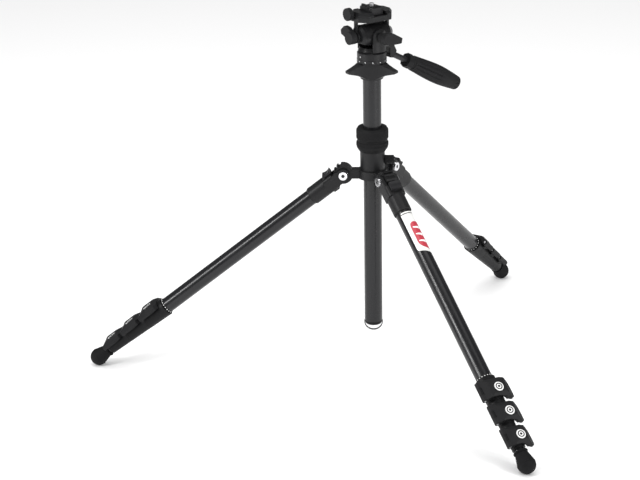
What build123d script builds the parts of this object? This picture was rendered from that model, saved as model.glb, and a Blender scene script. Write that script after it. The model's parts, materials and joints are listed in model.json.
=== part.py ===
"""Travel tripod with flip-lock legs, a twist-lock column and a three-way pan head.

Units are millimetres. The floor is z = 0 and the centre column stands on the z axis.
Leg pieces are drawn in the leg's own frame: origin on the pivot, +Z down the leg, +X on the
leg's outer face. Head pieces are drawn with +X towards the lens, then turned with the head.
"""
import os
from math import atan2, cos, degrees, hypot, radians, sin, sqrt, tan

from build123d import *

os.makedirs("parts", exist_ok=True)

# ---------------------------------------------------------------- driving dimensions
leg_azimuths = {"front": -60.0, "rear": 60.0, "left": 180.0}
splay = 52.0                    # each leg's angle from the vertical
leg_length = 447.6              # pivot to the centre of the foot's ball, legs collapsed
pivot_radius = 40.4             # column axis to leg pivot
foot_radius = 12.2              # ball of the rubber foot
tube_diameters = [22.0, 19.0, 16.0, 13.0]
tube_wall = 1.0
section_travel = 260.0          # how far each leg section pulls out

column_diameter = 25.0
column_wall = 1.4
column_bottom = 70.0            # height of the column tube's lower end
platform_bottom = 423.0         # height at which the wing platform grows out of the column
head_azimuth = 218.1            # where the lens side of the head points

running = 0.05                  # radial clearance of a shaft that turns or slides in its hole
gap = 0.4                       # open space between pieces that pass each other

pivot_height = leg_length * cos(radians(splay)) + foot_radius

# ---------------------------------------------------------------- leg pivots and spider
bolt_radius = 3.0
bolt_head_radius = 6.4
bolt_head_height = 2.6
cam_radius = 13.5
cam_width = 15.6
arm_height = 12.0
hub_wall = 7.5                  # round the column's bore
sleeve_wall = 4.5
sleeve_height = 26.4            # above the hub plate
neck_wall = 2.5                 # threaded neck under the twist collar
neck_height = 29.0
notch_width = 4.0
notch_depth = 2.5
notch_step = 30.0               # angle between the leg's working positions

ear_radius = 8.6
ear_inner = cam_width / 2 + gap
ear_thickness = 4.8
ear_outer = ear_inner + ear_thickness

# ---------------------------------------------------------------- leg pieces
block_start = cam_radius + 0.5  # where the shoulder becomes solid below the cam
block_height = 22.2
block_top = 11.2
barrel_start = 29.6             # round part of the shoulder
barrel_end = 55.0
barrel_radius = tube_diameters[0] / 2 + 1.75
socket_start = 24.0
stop_start = 12.4
stop_length = 12.0
stop_travel = 4.0
stop_width = 17.0
stop_height = 5.6
thumb_radius = 11.0
tongue_length = 5.0
tongue_width = 6.0
tongue_depth = 2.4

lock_start = 321.5
lock_pitch = 34.7
lock_length = lock_pitch - gap
lock_socket = 12.0
clamp_wall = 2.5
clamp_narrowing = 1.4           # how much slimmer a clamp is at its lower end
hinge_x = 7.0
hinge_offset = 4.0              # hinge pin beyond the clamp's side
knuckle_radius = 4.2
knuckle_length = 10.0
hinge_pin_radius = 1.5
lever_start = 5.5               # lever's upper edge below the clamp's
lever_height = 26.5
lever_skew = 8.0                # how much lower the finger tip reaches
finger_reach = 8.5              # finger tip beyond the clamp's side
finger_droop = 7.0              # how far the finger falls away from the lever's face
finger_thickness = 2.6
lever_slope = 4.6               # fall of the lever's face at its upper and lower edges
lever_thickness = 4.4
badge_radius = 6.8
badge_side = 4.0                # badge centre towards the finger tip
badge_drop = 15.0               # badge centre below the lever's upper edge
recess_depth = 1.2

guide_length = 8.0
tube_step = 8.0                 # each inner tube starts this much lower
foot_collar_radius = 9.4
foot_cone_radius = 8.4
foot_collar_height = 2.5
foot_socket = 10.0

# ---------------------------------------------------------------- column pieces
collar_wall = 9.25              # from the column's surface to the collar's
collar_height = 33.6
collar_waist = 1.4
knob_radius = 6.0
knob_length = 12.0
knob_stud_radius = 2.5
plug_flange = 5.0
plug_depth = 12.0
bail_thickness = 1.3            # steel strip bent into the weight hook
bail_width = 2.6
bail_eye = 2.2
bail_pin_radius = 1.0
platform_height = 23.0
wing_radius = 38.0
wing_azimuths = [-30.0, 90.0, 210.0]
wing_tip_width = 10.0
wing_valley = 3.0               # web left round the column between the wings
stud_radius = 4.7
stud_height = 9.0
tube_in_platform = 15.0

# ---------------------------------------------------------------- head
pan_base_radius = 20.0
pan_base_height = 16.0
pan_spigot_radius = 8.0
pan_spigot_height = 2.4
turntable_radius = 18.8
turntable_height = 5.0
turntable_taper = 25.0
axis_rise = 21.5                # tilt and roll axes above the pan base
drum_radius = 15.5              # roll barrel
drum_half = 24.0
drum_chamfer = 3.0
tilt_forward = 20.0             # how far the lens end can swing down
tilt_back = 6.0                 # how far the handle end can swing down
cheek_thickness = 4.6
cheek_half = 10.5
trunnion_radius = 5.0
lock_stud_radius = 2.5
lock_stud_depth = 6.0
cap_radius = 7.6
cap_height = 3.2
side_cap_height = 2.0
side_cap_sink = 0.8              # keeps the cap inside the rolling clamp
lever_neck_radius = 6.0
tilt_lever_neck = 10.0
roll_lever_neck = 1.8
lever_flange = 3.0
lever_boss = 8.4
wing_depth = 6.0
wing_reach = 21.5

ring_radius = 8.0               # lower ends of the platform bracket
ring_thickness = 3.2
arm_width = 5.0
bracket_rise = 21.5             # underside of the camera clamp above the axes
clamp_half_length = 28.0        # along the lens axis
clamp_half_width = 20.0
clamp_end_half = 8.0
clamp_side_half = 18.0
clamp_base_height = 7.0
clamp_height = 12.5
clamp_slope = 3.6               # height of the sloping shoulders
clamp_taper = 35.0
channel_top_half = 9.3
dovetail = 2.0                  # how much wider the dovetail is at its foot
jaw_start = 12.4
jaw_travel = 2.0
clamp_knob_radius = 8.6
clamp_knob_length = 6.0
clamp_knob_side = -7.0
clamp_screw_radius = 2.0
clamp_screw_length = 16.0
plate_half_length = 11.5
plate_half_width = 13.0
plate_flange = 4.3
lip_height = 5.0
lip_thickness = 1.8
screw_radius = 3.175            # quarter-inch camera screw
screw_neck_radius = 2.7         # captive neck inside the plate
screw_sink = 0.8                # wider mouth of the plate's hole
screw_rise = 5.0
screw_head_radius = 6.0
screw_head_height = 2.2
post_half = 2.5

handle_droop = 28.5             # below the horizontal
handle_back = 31.5              # handle socket behind the pan axis
handle_drop = 31.0              # handle socket below the tilt axis
rod_radius = 4.1
rod_visible = 26.0
rod_seat = 4.0
grip_length = 101.0
grip_overlap = 40.0
grip_front_radius = 10.3
grip_middle_radius = 13.2
grip_end_radius = 9.8


def write_piece(piece, label):
    """Name a finished piece and write it to its own file."""
    piece.label = label
    export_step(piece, f"parts/{label}.step")


def leg_frame(azimuth):
    """The leg's own frame: origin on the pivot, +Z down the leg, +X out of its upper face."""
    out = Vector(cos(radians(azimuth)), sin(radians(azimuth)), 0)
    up = Vector(0, 0, 1)
    down_leg = out * sin(radians(splay)) - up * cos(radians(splay))
    face = out * cos(radians(splay)) + up * sin(radians(splay))
    return Plane(origin=out * pivot_radius + up * pivot_height, x_dir=face, z_dir=down_leg)


def pivot_frame(azimuth):
    """A plane square to a leg's pivot bolt: x outwards, y up, through the pivot."""
    out = Vector(cos(radians(azimuth)), sin(radians(azimuth)), 0)
    side = Vector(sin(radians(azimuth)), -cos(radians(azimuth)), 0)
    return Plane(origin=out * pivot_radius + Vector(0, 0, pivot_height), x_dir=out, z_dir=side)


leg_side = Plane(origin=(0, 0, 0), x_dir=(0, 0, 1), z_dir=(0, 1, 0))      # x down the leg
leg_face = Plane(origin=(0, 0, 0), x_dir=(0, 1, 0), z_dir=(1, 0, 0))      # y down the leg


# ---------------------------------------------------------------- spider and its bolts
column_radius = column_diameter / 2
hub_radius = column_radius + hub_wall
sleeve_radius = column_radius + sleeve_wall
neck_radius = column_radius + neck_wall
collar_radius = column_radius + collar_wall
bore_radius = column_radius + running
hub_bottom = pivot_height - arm_height / 2
sleeve_top = hub_bottom + arm_height + sleeve_height
collar_bottom = sleeve_top + gap
knob_height = pivot_height + 19.5

with BuildPart() as spider:
    with BuildSketch(Plane.XY.offset(hub_bottom)):
        Circle(hub_radius)
        for azimuth in leg_azimuths.values():
            with Locations(Rotation(0, 0, azimuth) * Pos(pivot_radius / 2, 0)):
                Rectangle(pivot_radius, cam_width)
    extrude(amount=arm_height)
    for azimuth in leg_azimuths.values():
        with BuildSketch(pivot_frame(azimuth).offset(-cam_width / 2)):
            Circle(cam_radius)
            with PolarLocations(cam_radius, 3, start_angle=90 - splay - notch_step, angular_range=3 * notch_step):
                Rectangle(2 * notch_depth, notch_width, mode=Mode.SUBTRACT)
        extrude(amount=cam_width)
    with BuildSketch(Plane.XY.offset(hub_bottom + arm_height)):
        Circle(sleeve_radius)
    extrude(amount=sleeve_height)
    with BuildSketch(Plane.XY.offset(sleeve_top)):
        Circle(neck_radius)
    extrude(amount=neck_height)
    with BuildSketch(Plane.XY.offset(hub_bottom)):
        Circle(bore_radius)
    extrude(amount=arm_height + sleeve_height + neck_height, mode=Mode.SUBTRACT)
    for azimuth in leg_azimuths.values():
        with BuildSketch(pivot_frame(azimuth).offset(-cam_width)):
            Circle(bolt_radius)
        extrude(amount=2 * cam_width, mode=Mode.SUBTRACT)
    with BuildSketch(Plane.YZ.offset(column_radius)):
        with Locations((0, knob_height)):
            Circle(knob_stud_radius + running)
    extrude(amount=sleeve_radius, mode=Mode.SUBTRACT)
write_piece(spider.part, "spider")

with BuildPart() as bolts:
    for azimuth in leg_azimuths.values():
        with BuildSketch(pivot_frame(azimuth).offset(-ear_outer - gap / 2)):
            Circle(bolt_radius)
        extrude(amount=2 * ear_outer + gap)
        for turn in (0, 180):
            head = Plane(pivot_frame(azimuth).location * Rotation(turn, 0, 0))
            with BuildSketch(head.offset(ear_outer + gap / 2)):
                Circle(bolt_head_radius)
            extrude(amount=bolt_head_height, taper=12)
            with BuildSketch(head.offset(ear_outer + gap / 2 + bolt_head_height)):
                RegularPolygon(2.5, 6)
            extrude(amount=-bolt_head_height * 0.6, mode=Mode.SUBTRACT)
write_piece(bolts.part, "pivot_bolts")

# ---------------------------------------------------------------- column and its locks
with BuildPart() as collar:
    with BuildSketch(Plane.XZ) as collar_section:
        with BuildLine():
            Polyline(
                (neck_radius + gap, collar_bottom),
                (sleeve_radius + 1, collar_bottom),
                (collar_radius - 0.4, collar_bottom + 5),
                (collar_radius, collar_bottom + 7),
                (collar_radius, collar_bottom + 13),
                (collar_radius - collar_waist, collar_bottom + 14.5),
                (collar_radius - collar_waist, collar_bottom + 16.5),
                (collar_radius, collar_bottom + 18),
                (collar_radius, collar_bottom + collar_height - 3),
                (collar_radius - 2, collar_bottom + collar_height),
                (column_radius + gap, collar_bottom + collar_height),
                (column_radius + gap, collar_bottom + neck_height + gap),
                (neck_radius + gap, collar_bottom + neck_height + gap),
                close=True,
            )
        make_face()
    revolve(axis=Axis.Z)
write_piece(collar.part, "column_collar")

with BuildPart() as friction_knob:
    with BuildSketch(Plane.YZ.offset(column_radius + 0.6)):
        with Locations((0, knob_height)):
            Circle(knob_stud_radius)
    extrude(amount=sleeve_radius + gap - column_radius)
    with BuildSketch(Plane.YZ.offset(sleeve_radius + gap)):
        with Locations((0, knob_height)):
            Circle(knob_radius)
            with PolarLocations(knob_radius + 0.3, 14):
                Circle(0.75, mode=Mode.SUBTRACT)
    extrude(amount=knob_length)
write_piece(friction_knob.part, "column_friction_knob")

platform_top = platform_bottom + platform_height
column_top = platform_bottom + tube_in_platform
column_inside = column_radius - column_wall

with BuildPart() as column:
    with BuildSketch(Plane.XY.offset(column_bottom)):
        Circle(column_radius)
        Circle(column_inside, mode=Mode.SUBTRACT)
    extrude(amount=column_top - column_bottom)
write_piece(column.part, "column_tube")

bail_height = column_bottom - bail_eye - gap
plug_radius = column_radius - 1.0
bail_inside = plug_radius + gap
bail_outside = bail_inside + bail_thickness
with BuildPart() as hook_plug:
    with BuildSketch(Plane.XY.offset(column_bottom - plug_flange)):
        Circle(plug_radius)
    extrude(amount=plug_flange)
    chamfer(hook_plug.faces().sort_by(Axis.Z)[0].edges(), 1.0)
    with BuildSketch(Plane.XY.offset(column_bottom)):
        Circle(column_inside)
    extrude(amount=plug_depth)
    with BuildSketch(Plane.YZ):
        with Locations((0, bail_height)):
            Circle(bail_pin_radius + running)
    extrude(amount=column_radius, both=True, mode=Mode.SUBTRACT)
write_piece(hook_plug.part, "column_hook_plug")

with BuildPart() as bail:
    with BuildSketch(Plane.XZ):
        with Locations((0, bail_height)):
            Circle(bail_outside)
            Circle(bail_inside, mode=Mode.SUBTRACT)
        with Locations((0, bail_height + bail_outside)):
            Rectangle(2 * bail_outside, 2 * bail_outside, mode=Mode.SUBTRACT)
    extrude(amount=bail_width / 2, both=True)
    for side in (-1, 1):
        with BuildSketch(Plane.YZ.offset(side * (bail_inside + bail_thickness / 2))):
            with Locations((0, bail_height)):
                Circle(bail_eye)
        extrude(amount=bail_thickness / 2, both=True)
        with BuildSketch(Plane.YZ.offset(side * (plug_radius - 1))):
            with Locations((0, bail_height)):
                Circle(bail_pin_radius)
        extrude(amount=1 + gap, both=True)
write_piece(bail.part, "weight_hook_bail")

with BuildPart() as platform:
    with BuildSketch(Plane.XY.offset(platform_bottom)):
        with BuildLine():
            tips = []
            for azimuth in wing_azimuths:
                tip = Vector(wing_radius, 0, 0).rotate(Axis.Z, azimuth)
                edge = Vector(0, wing_tip_width / 2, 0).rotate(Axis.Z, azimuth)
                tips.append((tip - edge, tip + edge))
            for (low, high), (low_next, _) in zip(tips, tips[1:] + tips[:1]):
                middle = (high + low_next) * 0.5
                valley = middle.normalized() * (column_radius + wing_valley)
                Line(low, high)
                ThreePointArc(high, valley, low_next)
        make_face()
    extrude(amount=platform_height)
    with BuildSketch(Plane.XZ):
        with BuildLine():
            Polyline(
                (0, platform_bottom - 1),
                (column_radius + 1.6, platform_bottom - 1),
                (column_radius + 4, platform_bottom + 2.5),
                (wing_radius - 14, platform_bottom + 7),
                (wing_radius + 1, platform_bottom + 11),
                (wing_radius + 1, platform_bottom + 13.5),
                (wing_radius - 14, platform_bottom + 19.5),
                (pan_base_radius - 2, platform_top),
                (0, platform_top),
                close=True,
            )
        make_face()
    revolve(axis=Axis.Z, mode=Mode.INTERSECT)
    with BuildSketch(Plane.XY.offset(platform_bottom)):
        Circle(column_radius + 3)
    extrude(amount=platform_height)
    with BuildSketch(Plane.XY.offset(platform_top)):
        Circle(stud_radius)
    extrude(amount=stud_height)
    with BuildSketch(Plane.XY.offset(platform_bottom)):
        Circle(column_radius)
    extrude(amount=tube_in_platform, mode=Mode.SUBTRACT)
write_piece(platform.part, "column_platform")

# ---------------------------------------------------------------- legs
def make_shoulder():
    """Casting that holds the upper tube and straddles the spider's cam with two ears."""
    with BuildPart() as shoulder:
        for plane in (leg_side.offset(ear_inner), leg_side.offset(-ear_outer)):
            with BuildSketch(plane):
                Circle(ear_radius)
                with Locations((block_start / 2, 0)):
                    Rectangle(block_start + 2, 2 * ear_radius)
            extrude(amount=ear_thickness)
        with BuildSketch(Plane.XY.offset(block_start)):
            with Locations((block_top - block_height / 2, 0)):
                RectangleRounded(block_height, 2 * ear_outer, 5)
        extrude(amount=barrel_start - block_start)
        with BuildSketch(Plane.XY.offset(barrel_start)):
            Circle(barrel_radius)
        extrude(amount=barrel_end - barrel_start)
        chamfer(shoulder.faces().sort_by(Axis.Z)[-1].outer_wire().edges(), 0.8)
        with BuildSketch(leg_side.offset(-ear_inner / 2)):
            with Locations((block_start + 7, block_top - block_height)):
                RectangleRounded(10, 6, 2)
        extrude(amount=ear_inner)
        with BuildSketch(Plane.XY.offset(socket_start)):
            Circle(tube_diameters[0] / 2)
        extrude(amount=barrel_end - socket_start, mode=Mode.SUBTRACT)
        with BuildSketch(leg_side.offset(-ear_outer - 1)):
            Circle(bolt_radius + running)
        extrude(amount=2 * ear_outer + 2, mode=Mode.SUBTRACT)
        with BuildSketch(Plane.XY.offset(block_start - 1)):
            with Locations((block_top - tongue_depth / 2, 0)):
                Rectangle(tongue_depth + 0.01, tongue_width + gap)
        extrude(amount=socket_start - block_start + 0.6, mode=Mode.SUBTRACT)
    return shoulder.part


def make_angle_stop():
    """Pull-down tab that holds the leg's angle, with a thumb hollow and a guiding tongue."""
    with BuildPart() as stop:
        base = block_top + gap / 2
        with BuildSketch(Plane.XY.offset(stop_start)):
            with Locations((base + stop_height / 2, 0)):
                RectangleRounded(stop_height, stop_width, 1.6)
        extrude(amount=stop_length)
        with BuildSketch(leg_side.offset(-stop_width)):
            with Locations((stop_start + stop_length * 0.55, base + stop_height + thumb_radius - 2.2)):
                Circle(thumb_radius)
        extrude(amount=2 * stop_width, mode=Mode.SUBTRACT)
        with BuildSketch(Plane.XY.offset(block_start + 0.2)):
            with Locations((base - (tongue_depth - gap) / 2 + 0.1, 0)):
                Rectangle(tongue_depth - gap + 0.2, tongue_width)
        extrude(amount=tongue_length)
    return stop.part


def lock_top(number):
    """Distance from the pivot to the upper end of lock 1, 2 or 3."""
    return lock_start + lock_pitch * (number - 1)


def make_tube(number):
    """Leg tube 1 (widest) to 4, with the guide bush bonded to the top of each inner tube."""
    outer = tube_diameters[number - 1] / 2
    top = socket_start + tube_step * (number - 1)
    bottom = lock_top(number) + lock_socket if number < 4 else foot_top + foot_socket
    with BuildPart() as tube:
        with BuildSketch(Plane.XY.offset(top)):
            Circle(outer)
        extrude(amount=bottom - top)
        if number > 1:
            with BuildSketch(Plane.XY.offset(top)):
                Circle(tube_diameters[number - 2] / 2 - tube_wall - running)
            extrude(amount=guide_length)
        with BuildSketch(Plane.XY.offset(top)):
            Circle(outer - tube_wall)
        extrude(amount=bottom - top, mode=Mode.SUBTRACT)
    return tube.part


def hinge_point(number):
    """Where a lock's hinge pin crosses the leg's section, as x and y."""
    return hinge_x, tube_diameters[number - 1] / 2 + clamp_wall + hinge_offset


def make_clamp(number):
    """Clamp bonded to the end of one tube, with a running bore for the next tube."""
    top = lock_top(number)
    radius = tube_diameters[number - 1] / 2 + clamp_wall
    pin_x, pin_y = hinge_point(number)
    reach = hypot(pin_x, pin_y)
    angle = degrees(atan2(pin_y, pin_x))
    knuckle_start = top + lever_start + (lever_height - knuckle_length) / 2
    with BuildPart() as clamp:
        with BuildSketch(Plane.XY.offset(top)):
            Circle(radius)
        extrude(amount=lock_length, taper=degrees(atan2(clamp_narrowing, lock_length)))
        with BuildSketch(Plane.XY.offset(knuckle_start)):
            with Locations((pin_x, pin_y)):
                Circle(knuckle_radius)
            with Locations(Rotation(0, 0, angle) * Pos(reach * 0.75, 0)):
                Rectangle(reach * 0.5, 7)
        extrude(amount=knuckle_length)
        with BuildSketch(Plane.XY.offset(top)):
            Circle(tube_diameters[number - 1] / 2)
        extrude(amount=lock_socket, mode=Mode.SUBTRACT)
        with BuildSketch(Plane.XY.offset(top + lock_socket)):
            Circle(tube_diameters[number] / 2 + running)
        extrude(amount=lock_length - lock_socket, mode=Mode.SUBTRACT)
        with BuildSketch(Plane.XY.offset(knuckle_start - 1)):
            with Locations((pin_x, pin_y)):
                Circle(hinge_pin_radius + running)
        extrude(amount=knuckle_length + 2, mode=Mode.SUBTRACT)
    return clamp.part


def make_lever(number):
    """Flip lever wrapped over the clamp, hinged on one side with the finger tip on the other."""
    top = lock_top(number) + lever_start
    radius = tube_diameters[number - 1] / 2 + clamp_wall
    inside = radius + gap
    crown = inside + lever_thickness
    tip = radius + finger_reach
    pin_x, pin_y = hinge_point(number)
    angle = degrees(atan2(pin_y, pin_x))
    knuckle_start = top + (lever_height - knuckle_length) / 2
    with BuildPart() as lever:
        with BuildSketch(Plane.XY.offset(top)):
            with BuildLine():
                Polyline(
                    (pin_x * 0.7, pin_y * 0.7),
                    (pin_x, pin_y),
                    (pin_x + knuckle_radius, pin_y),
                    (crown - 1.2, radius * 0.75),
                    (crown, radius * 0.45),
                    (crown, -badge_side - badge_radius - 0.5),
                    (crown - 1.6, -radius - 1.5),
                    (crown - finger_droop, -tip),
                    (crown - finger_droop - finger_thickness, -tip + 0.8),
                    (radius * 0.62, -radius - 0.4),
                    (radius * 0.5, -radius * 0.8),
                    close=True,
                )
            make_face()
            with Locations((pin_x, pin_y)):
                Circle(knuckle_radius)
            Circle(inside, mode=Mode.SUBTRACT)
        extrude(amount=lever_height + lever_skew)
        with BuildSketch(leg_face) as outline:
            with BuildLine():
                Polyline(
                    (pin_y + knuckle_radius + 1, top),
                    (10 - tip, top + 0.5),
                    (4 - tip, top + 4),
                    (1 - tip, top + 10),
                    (-tip, top + 18),
                    (-tip, top + lever_height + lever_skew),
                    (14 - tip, top + lever_height + 2),
                    (0, top + lever_height),
                    (pin_y + knuckle_radius + 1, top + lever_height),
                    close=True,
                )
            make_face()
            fillet(outline.vertices().sort_by(Axis.Y)[-1], 4.0)
        extrude(amount=crown + 1, mode=Mode.INTERSECT)
        with BuildSketch(leg_side.offset(-tip)):
            with BuildLine():
                Polyline(
                    (top, 0),
                    (top, crown - lever_slope),
                    (top + badge_drop - badge_radius - 1, crown),
                    (top + badge_drop + badge_radius + 1, crown),
                    (top + lever_height + lever_skew, crown - lever_slope),
                    (top + lever_height + lever_skew, 0),
                    close=True,
                )
            make_face()
        extrude(amount=tip + pin_y + knuckle_radius, mode=Mode.INTERSECT)
        with BuildSketch(Plane.XY.offset(knuckle_start - gap / 2)):
            with Locations((pin_x, pin_y)):
                Circle(knuckle_radius + gap)
            with Locations(Rotation(0, 0, angle) * Pos(radius * 0.75, 0)):
                Rectangle(radius * 1.5, 7 + 2 * gap)
        extrude(amount=knuckle_length + gap, mode=Mode.SUBTRACT)
        with BuildSketch(Plane.XY.offset(top)):
            with Locations((pin_x, pin_y)):
                Circle(hinge_pin_radius)
        extrude(amount=lever_height)
        with BuildSketch(leg_face.offset(crown - recess_depth)):
            with Locations((-badge_side, top + badge_drop)):
                Circle(badge_radius + 0.3)
        extrude(amount=2 * recess_depth, mode=Mode.SUBTRACT)
    return lever.part


foot_ball = leg_length
foot_cone_end = foot_ball - 2.7
foot_top = lock_top(4) + 3.0


def make_foot():
    """Rubber foot: collar, flare and ball, with a socket for the last tube."""
    ring = sqrt(foot_radius ** 2 - (foot_ball - foot_cone_end) ** 2)
    cone_start = foot_top + foot_collar_height
    with BuildPart() as foot:
        with BuildSketch(Plane.XY.offset(foot_top)):
            Circle(foot_collar_radius)
        extrude(amount=foot_collar_height)
        with BuildSketch(Plane.XZ):
            with BuildLine():
                Polyline(
                    (0, cone_start),
                    (foot_cone_radius, cone_start),
                    (ring, foot_cone_end),
                    (0, foot_cone_end),
                    close=True,
                )
            make_face()
        revolve(axis=Axis.Z)
        with Locations((0, 0, foot_ball)):
            Sphere(foot_radius)
        with BuildSketch(Plane.XY.offset(foot_top)):
            Circle(tube_diameters[3] / 2)
        extrude(amount=foot_socket, mode=Mode.SUBTRACT)
    return foot.part


leg_pieces = {"shoulder": make_shoulder(), "angle_stop": make_angle_stop(), "foot": make_foot()}
for number in (1, 2, 3, 4):
    leg_pieces[f"tube_{number}"] = make_tube(number)
for number in (1, 2, 3):
    leg_pieces[f"clamp_{number}"] = make_clamp(number)
    leg_pieces[f"lever_{number}"] = make_lever(number)
for leg, azimuth in leg_azimuths.items():
    for piece_name, piece in leg_pieces.items():
        write_piece(piece.moved(leg_frame(azimuth).location), f"{leg}_{piece_name}")

# ---------------------------------------------------------------- pan head
pan_top = platform_top + pan_base_height
axis_height = pan_top + axis_rise
head_turn = Location((0, 0, 0), (0, 0, head_azimuth))
lens_axis = Plane(origin=(0, 0, axis_height), x_dir=(0, 1, 0), z_dir=(1, 0, 0))    # x across
cross_axis = Plane(origin=(0, 0, axis_height), x_dir=(-1, 0, 0), z_dir=(0, 1, 0))  # x backwards
droop = radians(handle_droop)
handle_axis = Plane(
    origin=(-handle_back, 0, axis_height - handle_drop),
    x_dir=(0, 1, 0),
    z_dir=(-cos(droop), 0, -sin(droop)),
)

with BuildPart() as pan_base:
    with BuildSketch(Plane.XY.offset(platform_top)):
        Circle(pan_base_radius)
    extrude(amount=pan_base_height)
    chamfer(pan_base.faces().sort_by(Axis.Z)[-1].edges(), 2.4)
    with BuildSketch(Plane.XY.offset(pan_top)):
        Circle(pan_spigot_radius)
    extrude(amount=pan_spigot_height)
    with BuildSketch(Plane.XY.offset(platform_top)):
        Circle(stud_radius)
    extrude(amount=stud_height, mode=Mode.SUBTRACT)
write_piece(pan_base.part, "pan_base")

cheek_inner = drum_radius + gap
cheek_outer = cheek_inner + cheek_thickness
roll_reach = bracket_rise - gap     # nothing of the fork stands outside the rolling clamp
with BuildPart() as pan_body:
    for side in (-1, 1):
        with BuildSketch(cross_axis.offset(side * (cheek_inner + cheek_thickness / 2))):
            Circle(cheek_half)
            with Locations((0, (gap - axis_rise) / 2)):
                Rectangle(2 * cheek_half, axis_rise - gap)
        extrude(amount=cheek_thickness / 2, both=True)
    with BuildSketch(lens_axis):
        Circle(roll_reach)
        with Locations((0, -axis_rise / 2)):
            Rectangle(2 * cheek_outer, axis_rise)
    extrude(amount=cheek_half, both=True, mode=Mode.INTERSECT)
    with BuildSketch(Plane.XY.offset(pan_top + gap)):
        Circle(cheek_outer)
    extrude(amount=axis_rise + roll_reach, mode=Mode.INTERSECT)
    with BuildSketch(Plane.XY.offset(pan_top + gap)):
        Circle(turntable_radius)
    extrude(amount=turntable_height, taper=turntable_taper)
    with BuildSketch(cross_axis.offset(-cheek_outer - 1)):
        Circle(trunnion_radius + running)
    extrude(amount=2 * cheek_outer + 2, mode=Mode.SUBTRACT)
    with BuildSketch(cross_axis.offset(-cheek_outer)):
        Circle(cap_radius + gap)
    extrude(amount=side_cap_height + gap, mode=Mode.SUBTRACT)
    with BuildSketch(Plane.XY.offset(pan_top)):
        Circle(pan_spigot_radius + running)
    extrude(amount=turntable_height + gap, mode=Mode.SUBTRACT)
write_piece(pan_body.part.moved(head_turn), "pan_body")

ring_inner = drum_half + gap
ring_outer = ring_inner + ring_thickness
with BuildPart() as tilt_body:
    with BuildSketch(lens_axis):
        Circle(drum_radius)
    extrude(amount=drum_half, both=True)
    chamfer(tilt_body.faces().filter_by(Axis.X).edges(), drum_chamfer)
    for side, swing in ((1, radians(tilt_forward)), (-1, radians(tilt_back))):
        low = axis_height - drum_radius - 1
        floor = axis_height - (axis_rise - turntable_height - 2 * gap) / cos(swing)
        end = drum_half + 1
        with BuildSketch(Plane.XZ):
            with BuildLine():
                Polyline(
                    (side * (low - floor) / tan(swing), low),
                    (side * end, low),
                    (side * end, floor + end * tan(swing)),
                    close=True,
                )
            make_face()
        extrude(amount=drum_radius + 1, both=True, mode=Mode.SUBTRACT)
    with BuildSketch(Plane.XY.offset(axis_height)):
        Rectangle(2 * post_half, 2 * post_half)
    extrude(amount=roll_reach)
    with BuildSketch(Plane.XZ):
        with BuildLine():
            Polyline(
                (-drum_half + 5, axis_height - 4),
                (-drum_half + 3, axis_height - 14),
                (-handle_back + 4.4, axis_height - handle_drop + 9.0),
                (-handle_back + 4.4, axis_height - handle_drop - 4.6),
                (-handle_back - 1.0, axis_height - handle_drop - 5.6),
                (-handle_back - 6.6, axis_height - handle_drop + 3.0),
                (-handle_back - 1.0, axis_height - handle_drop + 14.5),
                (-drum_half, axis_height - 10),
                (-drum_half, axis_height - 4),
                close=True,
            )
        make_face()
    extrude(amount=6, both=True)
    with BuildSketch(cross_axis.offset(-cheek_outer + side_cap_height + gap / 2)):
        Circle(trunnion_radius)
    extrude(amount=2 * cheek_outer - side_cap_height - gap / 2)
    with BuildSketch(lens_axis):
        Circle(trunnion_radius)
    extrude(amount=ring_outer, both=True)
    with BuildSketch(cross_axis.offset(cheek_outer - lock_stud_depth - 1)):
        Circle(lock_stud_radius + running)
    extrude(amount=lock_stud_depth + 1, mode=Mode.SUBTRACT)
    with BuildSketch(lens_axis.offset(ring_outer - lock_stud_depth - 1)):
        Circle(lock_stud_radius + running)
    extrude(amount=lock_stud_depth + 1, mode=Mode.SUBTRACT)
    for plane, end in ((cross_axis, cheek_outer), (lens_axis, ring_outer)):
        with BuildSketch(plane.offset(-end)):
            Circle(lock_stud_radius)
        extrude(amount=lock_stud_depth, mode=Mode.SUBTRACT)
    with BuildSketch(handle_axis.offset(-rod_seat - gap)):
        Circle(rod_radius + running)
    extrude(amount=4 * rod_seat, mode=Mode.SUBTRACT)
write_piece(tilt_body.part.moved(head_turn), "tilt_body")

with BuildPart() as cap_screws:
    with BuildSketch(cross_axis.offset(side_cap_sink - cheek_outer)):
        Circle(cap_radius)
    extrude(amount=side_cap_height - side_cap_sink)
    with BuildSketch(cross_axis.offset(side_cap_sink - cheek_outer)):
        Circle(lock_stud_radius)
    extrude(amount=lock_stud_depth - side_cap_sink)
    with BuildSketch(lens_axis.offset(-ring_outer)):
        Circle(cap_radius)
    extrude(amount=-cap_height)
    fillet(cap_screws.faces().sort_by(Axis.X)[0].edges(), 1.6)
    with BuildSketch(lens_axis.offset(-ring_outer)):
        Circle(lock_stud_radius)
    extrude(amount=lock_stud_depth)
write_piece(cap_screws.part.moved(head_turn), "head_cap_screws")


def make_wing_lever(plane, start, boss, outline, wing_start):
    """Locking lever: stud in the trunnion, neck, round boss (from, to) and a wing with the given outline."""
    with BuildPart() as lever:
        with BuildSketch(plane.offset(start - lock_stud_depth)):
            Circle(lock_stud_radius)
        extrude(amount=lock_stud_depth + gap)
        with BuildSketch(plane.offset(start + gap)):
            Circle(lever_neck_radius)
        extrude(amount=boss[0])
        with BuildSketch(plane.offset(start + gap + boss[0])):
            Circle(lever_boss)
        extrude(amount=boss[1] - boss[0])
        with BuildSketch(plane.offset(start + gap + wing_start)) as wing:
            with BuildLine():
                Polyline(*outline, close=True)
            make_face()
            fillet(wing.vertices(), 1.4)
        extrude(amount=wing_depth)
    return lever.part


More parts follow.
